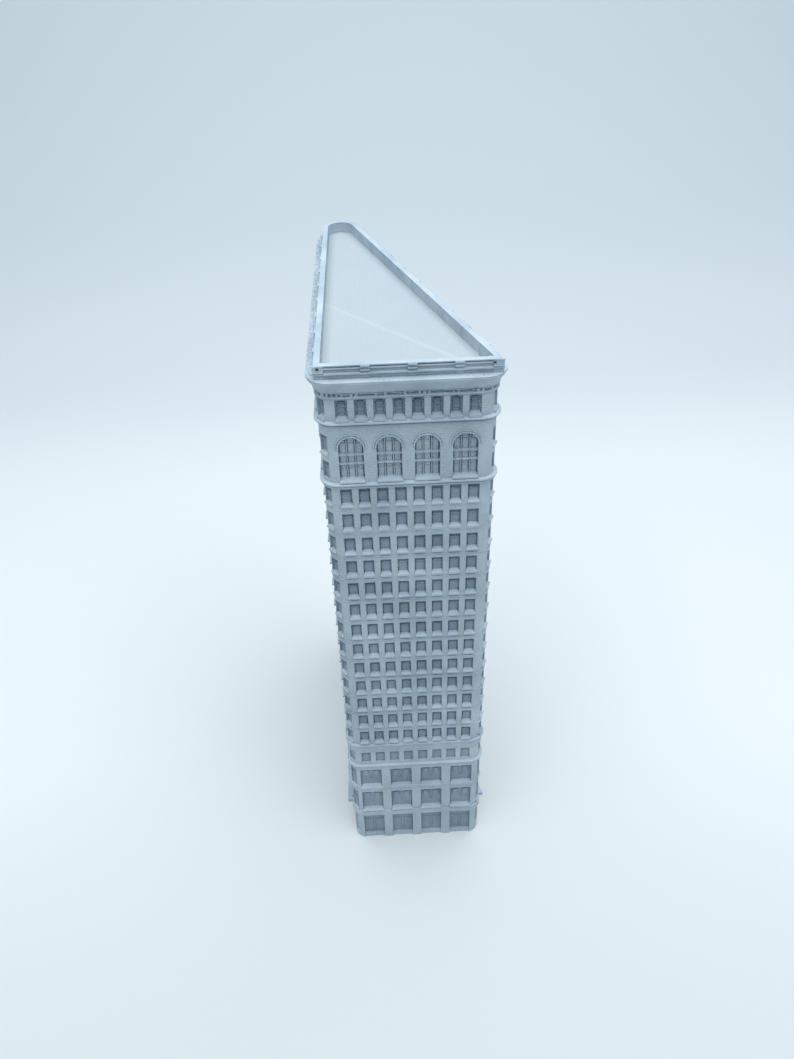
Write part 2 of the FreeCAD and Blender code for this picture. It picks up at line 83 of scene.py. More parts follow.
runs = {
    "front": runMatrix(Vector((wallLow.x, wallLow.y, 0)), 0),
    "left": runMatrix(Vector((wallLow.x, prowCentre.y, 0)), -90),
    "right": runMatrix(nearRight + flankOut * plan["cornerRadius"], flankTurn),
    "nearLeft": runMatrix(nearLeft, plan["leftCornerTurn"]),
    "nearRight": runMatrix(nearRight, plan["rightCornerTurn"]),
    "prow": runMatrix(prowCentre, plan["prowTurn"]),
    "frontPosts": runMatrix(Vector((parapet["left"], parapet["front"], 0)), 0),
    "leftPosts": runMatrix(Vector((parapet["left"], parapet["prowY"], 0)), -90),
    "rightPosts": runMatrix(crownCorner + flankOut * parapet["cornerRadius"], flankTurn),
}

# a rounded corner's run starts at its centre, so its wall is a radius out
cornerFaces = {"nearLeft": -plan["cornerRadius"], "nearRight": -plan["cornerRadius"],
               "prow": -plan["prowRadius"]}

# first centre, pitch and count along the front, left and right walls
openings = {
    "window": ((4.49, 3.72, 8), (2.79, 3.95, 18), (3.09, 4.2, 18)),
    "attic": ((4.74, 3.66, 8), (2.79, 3.95, 18), (3.09, 4.2, 18)),
    "bay": ((5.425, 8.05, 4), (4.775, 7.9, 9), (5.175, 8.4, 9)),
    "arch": ((6.02, 7.56, 4), (4.8, 7.9, 9), (5.15, 8.4, 9)),
}


def openingSpots(kind):
    # (run, centre along it) of every opening of a kind
    return [(run, first + pitch * index)
            for run, (first, pitch, count) in zip(("front", "left", "right"), openings[kind])
            for index in range(count)]


cameraSetup = {
    "place": (-5.81, -185.33, 223.34),
    "turn": (52.317, 1.523, -2.338),  # degrees
    "lens": 29.575,
    "sensor": 36.0,
    "nearest": 5.0,
}

bpy.ops.object.select_all(action="DESELECT")
bpy.ops.object.camera_add(location=[v * mm for v in cameraSetup["place"]],
                          rotation=[math.radians(v) for v in cameraSetup["turn"]])
camera = bpy.context.object
camera.data.lens = cameraSetup["lens"]
camera.data.sensor_width = cameraSetup["sensor"]
camera.data.clip_start = cameraSetup["nearest"] * mm
bpy.context.scene.camera = camera
print("camera set")


def hexColour(text):
    # sRGB hex to linear
    channels = [int(text[i:i + 2], 16) / 255 for i in (1, 3, 5)]
    return tuple(c / 12.92 if c <= 0.04045 else ((c + 0.055) / 1.055) ** 2.4
                 for c in channels) + (1.0,)


def addNode(tree, kind, settings=None, sockets=None, links=None):
    # one node; sockets gives input values, links gives {input: output socket}
    node = tree.nodes.new(kind)
    for key, value in (settings or {}).items():
        setattr(node, key, value)
    for key, value in (sockets or {}).items():
        node.inputs[key].default_value = value
    for key, output in (links or {}).items():
        tree.links.new(output, node.inputs[key])
    return node


def newMaterial(name):
    material = bpy.data.materials.new(name)
    material.use_nodes = True
    tree = material.node_tree
    tree.nodes.clear()
    return material, tree


# sizes in mm
towerPrint = {
    "colour": "#B6C4CD",
    "paler": "#C4D0D8",
    "deeper": "#A9B8C2",
    "toneSteps": (0.32, 0.5, 0.7),  # of the clouds, for deeper, colour and paler
    "roughness": 0.52,
    "roughnessSpread": (-0.08, 0.1),
    "cloudSize": 9.0,
    "layerHeight": 0.36,  # real layers are 0.12, too fine to show
    "layerDepth": 0.06,
    "grainSize": 0.45,
    "grainDepth": 0.15,
    "edgeRadius": 0.09,
}


def printedPlaFinish(name, look, seam=None):
    # Matte grey PLA filament, laid down in beads by a desktop printer: semi-matt,
    # with fine lines between the layers and small grains where the nozzle paused.
    material, tree = newMaterial(name)
    place = addNode(tree, "ShaderNodeTexCoord").outputs["Object"]
    clouds = addNode(tree, "ShaderNodeTexNoise",
                     sockets={"Scale": 1 / (look["cloudSize"] * mm), "Detail": 3.0,
                              "Roughness": 0.6},
                     links={"Vector": place})
    tint = addNode(tree, "ShaderNodeValToRGB", links={"Fac": clouds.outputs["Fac"]})
    deeperStep, middleStep, palerStep = look["toneSteps"]
    elements = tint.color_ramp.elements
    elements[0].position = deeperStep
    elements[0].color = hexColour(look["deeper"])
    elements[1].position = palerStep
    elements[1].color = hexColour(look["paler"])
    elements.new(middleStep).color = hexColour(look["colour"])
    # a wave's period is 0.314 over its scale; with a seam it's a deck, its beads along Y
    layers = addNode(tree, "ShaderNodeTexWave",
                     settings={"wave_type": "BANDS",
                               "bands_direction": "X" if seam else "Z"},
                     sockets={"Scale": 0.314 / (look["layerHeight"] * mm), "Distortion": 0.6,
                              "Detail": 2.0, "Detail Scale": 0.4},
                     links={"Vector": place})
    grains = addNode(tree, "ShaderNodeTexNoise",
                     sockets={"Scale": 1 / (look["grainSize"] * mm), "Detail": 2.0,
                              "Roughness": 0.55},
                     links={"Vector": place})
    softEdge = addNode(tree, "ShaderNodeBevel", settings={"samples": 3},
                       sockets={"Radius": look["edgeRadius"] * mm})
    layerBump = addNode(tree, "ShaderNodeBump",
                        sockets={"Distance": look["layerDepth"] * mm, "Strength": 1.0},
                        links={"Height": layers.outputs["Fac"],
                               "Normal": softEdge.outputs["Normal"]})
    grainBump = addNode(tree, "ShaderNodeBump",
                        sockets={"Distance": look["grainDepth"] * mm, "Strength": 1.0},
                        links={"Height": grains.outputs["Fac"],
                               "Normal": layerBump.outputs["Normal"]})
    smoother, rougher = look["roughnessSpread"]
    sheen = addNode(tree, "ShaderNodeMapRange",
                    sockets={"To Min": look["roughness"] + smoother,
                             "To Max": look["roughness"] + rougher},
                    links={"Value": grains.outputs["Fac"]})
    colour = tint.outputs["Color"]
    if seam:
        # the faint diagonal where the printer changed direction
        across = addNode(tree, "ShaderNodeVectorMath", settings={"operation": "DOT_PRODUCT"},
                         sockets={1: seam["normal"]}, links={0: place})
        away = addNode(tree, "ShaderNodeMath", settings={"operation": "SUBTRACT"},
                       sockets={1: seam["distance"] * mm}, links={0: across.outputs["Value"]})
        near = addNode(tree, "ShaderNodeMath", settings={"operation": "ABSOLUTE"},
                       links={0: away.outputs[0]})
        line = addNode(tree, "ShaderNodeMapRange",
                       sockets={"From Min": 0.0, "From Max": seam["width"] * mm,
                                "To Min": seam["strength"], "To Max": 0.0},
                       links={"Value": near.outputs[0]})
        # a colour mix has its colours at inputs 6 and 7 and its result at output 2
        seamMix = addNode(tree, "ShaderNodeMix", settings={"data_type": "RGBA"},
                          sockets={7: hexColour(seam["colour"])},
                          links={0: line.outputs["Result"], 6: colour})
        colour = seamMix.outputs[2]
    surface = addNode(tree, "ShaderNodeBsdfPrincipled",
                      sockets={"IOR": 1.46, "Metallic": 0.0},
                      links={"Base Color": colour,
                             "Roughness": sheen.outputs["Result"],
                             "Normal": grainBump.outputs["Normal"]})
    addNode(tree, "ShaderNodeOutputMaterial", links={"Surface": surface.outputs["BSDF"]})
    return material


# the same filament in the recesses, painted darker and greyer for the shade that falls in them
windowPrintPaintedShade = dict(towerPrint, colour="#94A5B1", paler="#A4B4BF", deeper="#8798A5",
                   roughness=0.6)

# the same filament on the deck, in wide flat beads either side of a seam; painted light
# makes it greyer and a little darker than the walls, for how the top is lit
roofPrintPaintedLight = dict(towerPrint, colour="#B2BCBF", paler="#B5BFC2", deeper="#AFB9BC",
                 cloudSize=26.0, layerHeight=0.62, layerDepth=0.03, grainDepth=0.012)
roofSeam = {"normal": (0.734, 0.68, 0.0), "distance": -16.3, "width": 0.9, "strength": 0.3,
            "colour": "#CCD6DA"}

wallPla = printedPlaFinish("printedPlaWalls", towerPrint)
windowPlaPaintedShade = printedPlaFinish("printedPlaWindowsPaintedShade", windowPrintPaintedShade)
roofPlaPaintedLight = printedPlaFinish("printedPlaRoofPaintedLight", roofPrintPaintedLight, seam=roofSeam)

for name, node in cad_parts.items():
    finish = roofPlaPaintedLight if name == "roof_deck" else wallPla
    for index in range(len(node.data.materials)):
        node.data.materials[index] = finish
    if not node.data.materials:
        node.data.materials.append(finish)
print("frame finished in printed PLA:", len(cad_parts), "nodes")


def clearSelection():
    bpy.ops.object.select_all(action="DESELECT")


def pickUp(piece):
    clearSelection()
    piece.select_set(True)
    bpy.context.view_layer.objects.active = piece


def startBlock(name, low, high):
    # a block between two corners, in mm, with its place in its mesh
    clearSelection()
    bpy.ops.mesh.primitive_cube_add(size=1,
                                    location=[(a + b) / 2 for a, b in zip(low, high)],
                                    scale=[b - a for a, b in zip(low, high)])
    block = bpy.context.object
    block.name = name
    bpy.ops.object.transform_apply(location=True, rotation=True, scale=True)
    return block


def sliceBlock(piece, across=(), up=()):
    # cuts right through at each X and each Z
    pickUp(piece)
    bpy.ops.object.mode_set(mode="EDIT")
    for point, normal in ([((x, 0, 0), (1, 0, 0)) for x in across]
                          + [((0, 0, z), (0, 0, 1)) for z in up]):
        bpy.ops.mesh.select_all(action="SELECT")
        bpy.ops.mesh.bisect(plane_co=point, plane_no=normal)
    bpy.ops.object.mode_set(mode="OBJECT")


def selectNothing(piece, kind):
    # leaves the piece in object mode, ready for faces or edges to be selected
    pickUp(piece)
    bpy.ops.object.mode_set(mode="EDIT")
    bpy.ops.mesh.select_mode(type=kind)
    bpy.ops.mesh.select_all(action="DESELECT")
    bpy.ops.object.mode_set(mode="OBJECT")


def chooseFront(piece, cells):
    # selects the outward faces whose centres lie in (x from, x to, z from, z to) cells
    selectNothing(piece, "FACE")
    for face in piece.data.polygons:
        spot = face.center
        face.select = face.normal.y < facingOut and any(
            x0 < spot.x < x1 and z0 < spot.z < z1 for x0, x1, z0, z1 in cells)
    bpy.ops.object.mode_set(mode="EDIT")


def sinkPanes(piece, cells, border, depth):
    # frames each cell and presses its pane in
    chooseFront(piece, cells)
    bpy.ops.mesh.inset(thickness=border, depth=-depth, use_individual=True)
    bpy.ops.object.mode_set(mode="OBJECT")


def pushOut(piece, cells, proud):
    chooseFront(piece, cells)
    bpy.ops.mesh.extrude_region_move(TRANSFORM_OT_translate={"value": (0, -proud, 0)})
    bpy.ops.object.mode_set(mode="OBJECT")


def roundHead(piece, radius, segments):
    # bevels the two top corners of a panel
    top = max(v.co.z for v in piece.data.vertices)
    sides = [pick(v.co.x for v in piece.data.vertices) for pick in (min, max)]
    selectNothing(piece, "EDGE")
    for edge in piece.data.edges:
        ends = [piece.data.vertices[i].co for i in edge.vertices]
        edge.select = all(abs(e.z - top) < closeBy for e in ends) and any(
            all(abs(e.x - side) < closeBy for e in ends) for side in sides)
    bpy.ops.object.mode_set(mode="EDIT")
    bpy.ops.mesh.bevel(offset=radius, segments=segments, affect="EDGES")
    bpy.ops.object.mode_set(mode="OBJECT")


def weld(name, parts):
    # joins parts into one piece
    clearSelection()
    for part in parts:
        part.select_set(True)
    bpy.context.view_layer.objects.active = parts[0]
    if len(parts) > 1:
        bpy.ops.object.join()
    parts[0].name = name
    return parts[0]


def ownCopy(pattern, *places):
    # a copy with its own mesh, moved by the last place first, then brought to metres
    twin = pattern.copy()
    twin.data = pattern.data.copy()
    bpy.context.collection.objects.link(twin)
    move = Matrix.Scale(mm, 4)
    for place in places:
        move = move @ place
    twin.data.transform(move)
    return twin


def standCopy(pattern, run, along, face, up, shake=0.0):
    # a copy at its place on a wall
    jitter = [dice.uniform(-shake, shake) for axis in range(3)]
    spot = Matrix.Translation((along + jitter[0], face + jitter[1], up + jitter[2]))
    return ownCopy(pattern, runs[run], spot)


def ringOf(name, pattern, cornerPattern, spots, up, shake=0.03):
    # copies of a pattern at spots on the walls, and of another at the rounded corners
    copies = [standCopy(pattern, run, along, 0, up, shake) for run, along in spots]
    if cornerPattern:
        copies += [standCopy(cornerPattern, run, 0, face, up) for run, face in cornerFaces.items()]
    return weld(name, copies)


def finishPiece(piece, finish=wallPla):
    piece.data.materials.clear()
    piece.data.materials.append(finish)
    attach(piece, "root")


def scrap(*patterns):
    for pattern in patterns:
        bpy.data.objects.remove(pattern)


# shaft windows
sash = {
    "width": 1.76, "cornerWidth": 1.5, "rise": 0.83,
    "foot": 0.16, "head": 3.6,
    "face": 0.58, "back": 1.03,
    "railLow": 2.82, "railHigh": 2.98, "railProud": 0.2,
    "stile": 0.17, "upperStileShare": 0.6, "paneSunk": 0.1, "upperSunk": 0.2,
}


def makeSash(name, width, look):
    # a double-hung window: framed lower pane, meeting rail, deeper upper pane
    half = width / 2
    foot, low, high, head = look["foot"], look["railLow"], look["railHigh"], look["head"]
    panel = startBlock(name, (-half, look["face"], foot), (half, look["back"], head))
    sliceBlock(panel, up=(low, high))
    sinkPanes(panel, [(-half, half, foot, low)], look["stile"], look["paneSunk"])
    sinkPanes(panel, [(-half, half, high, head)], look["stile"] * look["upperStileShare"],
              look["upperSunk"])
    pushOut(panel, [(-half, half, low, high)], look["railProud"])
    return panel


windowSpots = openingSpots("window")
shaftStoreys = sorted(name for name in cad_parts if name.startswith("storey_"))
wallSash = makeSash("wallSash", sash["width"], sash)
cornerSash = makeSash("cornerSash", sash["cornerWidth"], sash)
for name in shaftStoreys:
    finishPiece(ringOf("sashes_" + name, wallSash, cornerSash, windowSpots,
                       nodeLevel(name) + sash["rise"]), windowPlaPaintedShade)
print("shaft windows hung:", len(shaftStoreys), "storeys")

# fourth storey: the same window in a shallow recess
fourth = dict(sash, width=1.9, cornerWidth=1.6, rise=0.9, foot=-0.02, head=3.55,
              face=0.42, back=0.63, railProud=0.12, upperSunk=0.14)
fourthSash = makeSash("fourthSash", fourth["width"], fourth)
fourthCorner = makeSash("fourthCorner", fourth["cornerWidth"], fourth)
finishPiece(ringOf("sashes_fourth_storey", fourthSash, fourthCorner, windowSpots,
                   nodeLevel("fourth_storey") + fourth["rise"]), windowPlaPaintedShade)

# two small lights one above the other at each corner of the arcade
arcadeFloor = nodeLevel("arcade_storeys")
cornerLightRises = (0.5, 6.7)
cornerLights = [standCopy(cornerSash, run, 0, face, arcadeFloor + rise)
                for run, face in cornerFaces.items() for rise in cornerLightRises]
finishPiece(weld("arcade_corner_sashes", cornerLights), windowPlaPaintedShade)
scrap(wallSash, cornerSash, fourthSash, fourthCorner)

# attic windows
atticLight = {
    "width": 1.24, "cornerWidth": 1.0, "rise": 0.5,
    "foot": 0.1, "head": 3.3, "headRadius": 0.34, "headSegments": 4,
    "face": 0.9, "back": 1.33, "cornerBack": 1.03,
    "railLow": 2.25, "railHigh": 2.42, "railProud": 0.22, "railEar": 0.16,
    "bands": (1.15, 1.7, 2.85), "bandThick": 0.12, "bandProud": 0.1, "bandEar": 0.05,
}


def makeAtticLight(name, width, back):
    # a round-cornered light crossed by a rail and thin bands
    look = atticLight
    half, face = width / 2, look["face"]
    light = startBlock(name, (-half, face, look["foot"]), (half, back, look["head"]))
    roundHead(light, look["headRadius"], look["headSegments"])
    bandHalf = half + look["bandEar"]
    bands = [startBlock(name + "Band", (-bandHalf, face - look["bandProud"], level),
                        (bandHalf, face + look["bandProud"], level + look["bandThick"]))
             for level in look["bands"]]
    railHalf = half + look["railEar"]
    rail = startBlock(name + "Rail", (-railHalf, face - look["railProud"], look["railLow"]),
                      (railHalf, back, look["railHigh"]))
    return weld(name, [light, rail] + bands)


atticWall = makeAtticLight("atticWall", atticLight["width"], atticLight["back"])
atticCorner = makeAtticLight("atticCorner", atticLight["cornerWidth"], atticLight["cornerBack"])
finishPiece(ringOf("attic_sashes", atticWall, atticCorner, openingSpots("attic"),
                   nodeLevel("attic_storey") + atticLight["rise"]), windowPlaPaintedShade)
scrap(atticWall, atticCorner)
print("attic windows hung")

# wide bays of the base
bayWindow = {
    "storeys": (("second_storey", 0.75, 7.75), ("third_storey", 1.5, 7.1)),  # rise and head
    "half": 2.6, "face": 0.86, "back": 1.13, "foot": 0.3, "headGap": 0.12,
    "panelAcross": (0.62, 2.05), "panelUp": (0.56, 0.84),  # up as shares of the head
    "panelProud": 0.34, "panelFrame": 0.3, "panelSunk": 0.12,
    "slotHalf": 0.42, "slotUp": (0.3, 0.5), "slotFrame": 0.08, "slotSunk": 0.2,
}
bayCornerSash = dict(sash, face=0.28, back=0.63, foot=0.2, railLow=4.1, railHigh=4.35,
                     headGap=0.45)


def makeBayWindow(name, head):
    # a shallow window sheet with two raised lights high up and a slot between them below
    look = bayWindow
    half = look["half"]
    inner, outer = look["panelAcross"]
    low, high = [head * share for share in look["panelUp"]]
    slotLow, slotHigh = [head * share for share in look["slotUp"]]
    slot = look["slotHalf"]
    window = startBlock(name, (-half, look["face"], look["foot"]),
                        (half, look["back"], head - look["headGap"]))
    sliceBlock(window, across=(-outer, -inner, -slot, slot, inner, outer),
               up=(slotLow, slotHigh, low, high))
    lights = [(-outer, -inner, low, high), (inner, outer, low, high)]
    pushOut(window, lights, look["panelProud"])
    sinkPanes(window, lights, look["panelFrame"], look["panelSunk"])
    sinkPanes(window, [(-slot, slot, slotLow, slotHigh)], look["slotFrame"], look["slotSunk"])
    return window


baySpots = openingSpots("bay")
for storey, rise, head in bayWindow["storeys"]:
    bay = makeBayWindow("bayPattern", head)
    bayCorner = makeSash("bayCorner", bayCornerSash["cornerWidth"],
                         dict(bayCornerSash, head=head - bayCornerSash["headGap"]))
    finishPiece(ringOf("windows_" + storey, bay, bayCorner, baySpots, nodeLevel(storey) + rise),
                windowPlaPaintedShade)
    scrap(bay, bayCorner)

shopFront = {
    "half": 2.75, "doorHalf": 0.5,
    "face": 0.98, "back": 1.28, "foot": 1.3, "head": 10.4,
    "transomLow": 7.3, "transomHigh": 7.6, "transomProud": 0.06,
    "paneFrame": 0.3, "paneSunk": 0.08,
    "lightFrame": 0.2, "lightSunk": 0.06,
    "doorFrame": 0.2, "doorSunk": 0.24,
}


def makeShopFront(name):
    # display panes either side of a door, small lights above a transom
    look = shopFront
    half, door = look["half"], look["doorHalf"]
    foot, head = look["foot"], look["head"]
    low, high = look["transomLow"], look["transomHigh"]
    front = startBlock(name, (-half, look["face"], foot), (half, look["back"], head))
    sliceBlock(front, across=(-door, door), up=(low, high))
    sinkPanes(front, [(-half, -door, foot, low), (door, half, foot, low)],
              look["paneFrame"], look["paneSunk"])
    sinkPanes(front, [(-half, -door, high, head), (door, half, high, head),
                      (-door, door, high, head)], look["lightFrame"], look["lightSunk"])
    sinkPanes(front, [(-door, door, foot, low)], look["doorFrame"], look["doorSunk"])
    pushOut(front, [(-half, half, low, high)], look["transomProud"])
    return front


shop = makeShopFront("shopPattern")
finishPiece(ringOf("shop_fronts", shop, None, baySpots, 0), windowPlaPaintedShade)
scrap(shop)
print("base windows hung")

# arcade
tracery = {
    "foot": 0.62, "back": 1.53,
    "lights": ((-1.62, 1.12, 9.35), (0.0, 1.16, 10.05), (1.62, 1.12, 9.35)),  # x, width, head
    "lightFace": 1.0, "headShare": 0.42, "headSegments": 3,
    "mullions": (-0.86, 0.86), "mullionWidth": 0.2, "mullionFace": 0.7, "mullionHead": 10.2,
    "bars": ((4.0, 0.26, 0.42), (6.1, 0.28, 0.42)),  # level, thickness, face
    "barHalf": 2.5, "barStep": 0.2, "barGroove": (0.74, 0.98),
    "thinBars": ((2.7, 0.14), (8.65, 0.14)),  # level, thickness
    "thinEar": 0.04, "thinProud": 0.12, "thinSunk": 0.05,
}


def makeTracery(name):
    # three round-headed lights between mullions, crossed by bars
    look = tracery
    foot, back, lightFace = look["foot"], look["back"], look["lightFace"]
    parts = []
    for x, width, head in look["lights"]:
        half = width / 2
        light = startBlock("light", (x - half, lightFace, foot), (x + half, back, head))
        roundHead(light, width * look["headShare"], look["headSegments"])
        parts.append(light)
        for level, thick in look["thinBars"]:
            low = (x - half - look["thinEar"], lightFace - look["thinProud"], level)
            high = (x + half + look["thinEar"], lightFace + look["thinSunk"], level + thick)
            parts.append(startBlock("thinBar", low, high))
    half = look["mullionWidth"] / 2
    for x in look["mullions"]:
        parts.append(startBlock("mullion", (x - half, look["mullionFace"], foot),
                                (x + half, back, look["mullionHead"])))
    wide, step = look["barHalf"], look["barStep"]
    inner, outer = look["barGroove"]
    for level, thick, face in look["bars"]:
        top = level + thick
        bar = startBlock("bar", (-wide, face + step, level), (wide, back, top))
        sliceBlock(bar, across=(-outer, -inner, inner, outer))
        pushOut(bar, [(-wide, -outer, level, top), (-inner, inner, level, top),
                      (outer, wide, level, top)], step)
        parts.append(bar)
    return weld(name, parts)


archSpots = openingSpots("arch")
archPattern = makeTracery("archPattern")
finishPiece(ringOf("arch_tracery", archPattern, None, archSpots, arcadeFloor, shake=0.02))
scrap(archPattern)

archivolts = {
    "rings": ((2.5, 0.3, 0.3), (2.98, 0.26, 0.22)),  # inner radius, width, how proud
    "springing": 8.1, "sunk": 0.02, "circleSides": 32,
}


def makeArchivolt(name, radius, width, proud):
    # a flat half ring, drawn from a circle, widened and thickened
    look = archivolts
    clearSelection()
    bpy.ops.mesh.primitive_circle_add(vertices=look["circleSides"], radius=radius,
                                      rotation=(math.pi / 2, 0, 0), location=(0, 0, 0))
    hoop = bpy.context.object
    hoop.name = name
    bpy.ops.object.transform_apply(location=True, rotation=True, scale=True)
    bpy.ops.object.mode_set(mode="EDIT")
    bpy.ops.mesh.select_mode(type="VERT")
    bpy.ops.mesh.select_all(action="SELECT")
    grow = (radius + width) / radius
    bpy.ops.mesh.extrude_region_move()
    bpy.ops.transform.resize(value=(grow, 1, grow))
    bpy.ops.mesh.select_all(action="SELECT")
    bpy.ops.mesh.bisect(plane_co=(0, 0, 0), plane_no=(0, 0, 1), clear_inner=True)
    bpy.ops.mesh.select_all(action="SELECT")
    bpy.ops.mesh.extrude_region_move(TRANSFORM_OT_translate={"value": (0, -proud, 0)})
    bpy.ops.mesh.select_all(action="SELECT")
    bpy.ops.mesh.remove_doubles(threshold=0.001)
    bpy.ops.mesh.normals_make_consistent(inside=False)
    bpy.ops.transform.translate(value=(0, look["sunk"], look["springing"]))
    bpy.ops.object.mode_set(mode="OBJECT")
    return hoop


hoops = weld("hoopPattern", [makeArchivolt("hoop", *ring) for ring in archivolts["rings"]])
finishPiece(ringOf("archivolts", hoops, None, archSpots, arcadeFloor, shake=0.0))
scrap(hoops)
print("arcade glazed")


def wallPath(offset):
    # straight and curved lengths of an outline that far outside the wall line:
    # (length, function from distance to point and outward direction)
    small = plan["cornerRadius"] + offset
    big = plan["prowRadius"] + offset
    lengths = []

    def straight(start, end, out):
        span = end - start
        lengths.append((span.length, lambda distance: (start + span.normalized() * distance, out)))

    def bend(centre, radius, first, last):
        def where(distance):
            angle = math.radians(first) + distance / radius
            out = Vector((math.cos(angle), math.sin(angle), 0))
            return centre + radius * out, out
        lengths.append((radius * math.radians(last - first), where))

    down, left = Vector((0, -1, 0)), Vector((-1, 0, 0))
    leanDegrees = math.degrees(lean)
    straight(nearLeft + down * small, nearRight + down * small, down)
    bend(nearRight, small, -90, leanDegrees)
    straight(nearRight + flankOut * small, prowCentre + flankOut * big, flankOut)
    bend(prowCentre, big, leanDegrees, 180)
    straight(prowCentre + left * big, nearLeft + left * small, left)
    bend(nearLeft, small, 180, 270)
    return lengths


leftWallIndex = 4  # of the lengths in a wall path


def pathLength(lengths):
    return sum(length for length, where in lengths)


def alongPath(lengths, distance):
    for length, where in lengths:
        if distance <= length:
            return where(distance)
        distance -= length
    return lengths[-1][1](lengths[-1][0])


thirdFloorString = {"rise": 1.28, "radius": 0.2, "offset": 0.02, "points": 220}


def layBead(name, look, floor):
    # a rounded bead all round the walls
    line = bpy.data.curves.new(name, "CURVE")
    line.dimensions = "3D"
    line.bevel_depth = look["radius"] * mm
    line.bevel_resolution = 2
    path = wallPath(look["offset"])
    total = pathLength(path)
    level = floor + look["rise"]
    count = look["points"]
    spline = line.splines.new("POLY")
    spline.points.add(count - 1)
    for index in range(count):
        spot, out = alongPath(path, total * index / count)
        spline.points[index].co = (spot.x * mm, spot.y * mm, level * mm, 1)
    spline.use_cyclic_u = True
    bead = bpy.data.objects.new(name, line)
    bpy.context.collection.objects.link(bead)
    pickUp(bead)
    bpy.ops.object.convert(target="MESH")
    return bpy.context.object


finishPiece(layBead("third_floor_string", thirdFloorString, nodeLevel("third_storey")))

# caps and ledges on the parapet posts
postCaps = {
    "width": 1.45, "cornerWidth": 1.8, "overhang": 0.16, "back": 0.3,
    # low and high above the floor, how proud
    "ledges": ((148.22, 148.44, 0.5), (148.98, 149.16, 0.46), (149.6, 149.96, 0.4)),
    "cornerLedges": ((148.12, 148.26, 0.36), (148.62, 148.8, 0.34), (149.76, 149.95, 0.22)),
    # run, first post, pitch, count
    "rows": (("frontPosts", 8.72, 8.8, 3), ("leftPosts", 4.45, 8.0, 9),
             ("rightPosts", 5.25, 8.6, 8)),
    "cornerRows": (("frontPosts", -0.3), ("frontPosts", 33.4)),
}


def makeCap(name, width, ledges):
    look = postCaps
    return weld(name, [startBlock(name, (-look["overhang"], -proud, low),
                                  (width + look["overhang"], look["back"], high))
                       for low, high, proud in ledges])


cap = makeCap("capPattern", postCaps["width"], postCaps["ledges"])
cornerCap = makeCap("cornerCapPattern", postCaps["cornerWidth"], postCaps["cornerLedges"])
caps = [standCopy(cap, run, first + pitch * index, 0, 0, shake=0.03)
        for run, first, pitch, count in postCaps["rows"] for index in range(count)]
caps += [standCopy(cornerCap, run, along, 0, 0) for run, along in postCaps["cornerRows"]]
finishPiece(weld("post_caps", caps))
scrap(cap, cornerCap)

# grains of filament left on top of the cornice, more of them along the left wall
crumbs = {
    "count": 260, "leftShare": 0.6,
    "line": 1.0, "offset": (0.75, 1.5),
    "radius": (0.09, 0.2), "stretch": (0.7, 1.5), "squash": 0.8,
}


def makeCrumbs():
    look = crumbs
    path = wallPath(look["line"])
    total = pathLength(path)
    leftStart = pathLength(path[:leftWallIndex])
    leftLength = path[leftWallIndex][0]
    clearSelection()
    bpy.ops.mesh.primitive_ico_sphere_add(subdivisions=1, radius=1, location=(0, 0, 0))
    grain = bpy.context.object
    level = nodeLevel("roof_deck")
    grains = []
    for index in range(look["count"]):
        if dice.random() < look["leftShare"]:
            distance = leftStart + dice.uniform(0, leftLength)
        else:
            distance = dice.uniform(0, total)
        spot, out = alongPath(path, distance)
        place = spot + out * (dice.uniform(*look["offset"]) - look["line"])
        radius = dice.uniform(*look["radius"])
        shape = Matrix.Diagonal((radius, radius * dice.uniform(*look["stretch"]),
                                 radius * look["squash"], 1))
        grains.append(ownCopy(grain, Matrix.Translation((place.x, place.y, level)), shape))
    scrap(grain)
    return weld("cornice_crumbs", grains)


finishPiece(makeCrumbs())
print("string, caps and crumbs laid")

# teeth under the cornice, uneven and often missing because they didn't print
dentils = {
    "pitch": 0.92, "width": 0.44, "depth": 0.55, "low": 0.3, "high": 1.2, "proud": 0.2,
    "missing": 0.4, "widthShare": (0.5, 1.6), "depthShare": (0.4, 1.2), "droop": (0.0, 0.12),
}


def makeDentils():
    look = dentils
    path = wallPath(0.0)
    total = pathLength(path)
    count = round(total / look["pitch"])
    half = look["width"] / 2
    tooth = startBlock("toothPattern", (-half, -look["proud"], look["low"]),
                       (half, look["depth"] - look["proud"], look["high"]))
    floor = nodeLevel("dentil_band")
    teeth = []
    for index in range(count):
        if dice.random() < look["missing"]:
            continue
        spot, out = alongPath(path, total * index / count)
        turn = Matrix.Rotation(math.atan2(out.y, out.x) + math.pi / 2, 4, "Z")
        squeeze = Matrix.Diagonal((dice.uniform(*look["widthShare"]),
                                   dice.uniform(*look["depthShare"]), 1, 1))
        drop = Matrix.Translation((0, 0, floor - dice.uniform(*look["droop"])))
        teeth.append(ownCopy(tooth, Matrix.Translation(spot), drop, turn, squeeze))
    scrap(tooth)
    return weld("dentils", teeth)


finishPiece(makeDentils())

strands = {
    "thickness": 0.15, "level": 1.22, "proud": 0.34, "start": 0.3, "points": 5,
    "length": (1.4, 5.0), "gap": (-1.6, 0.8), "sag": (0.1, 0.6), "sagShare": (0.7, 1.2),
}


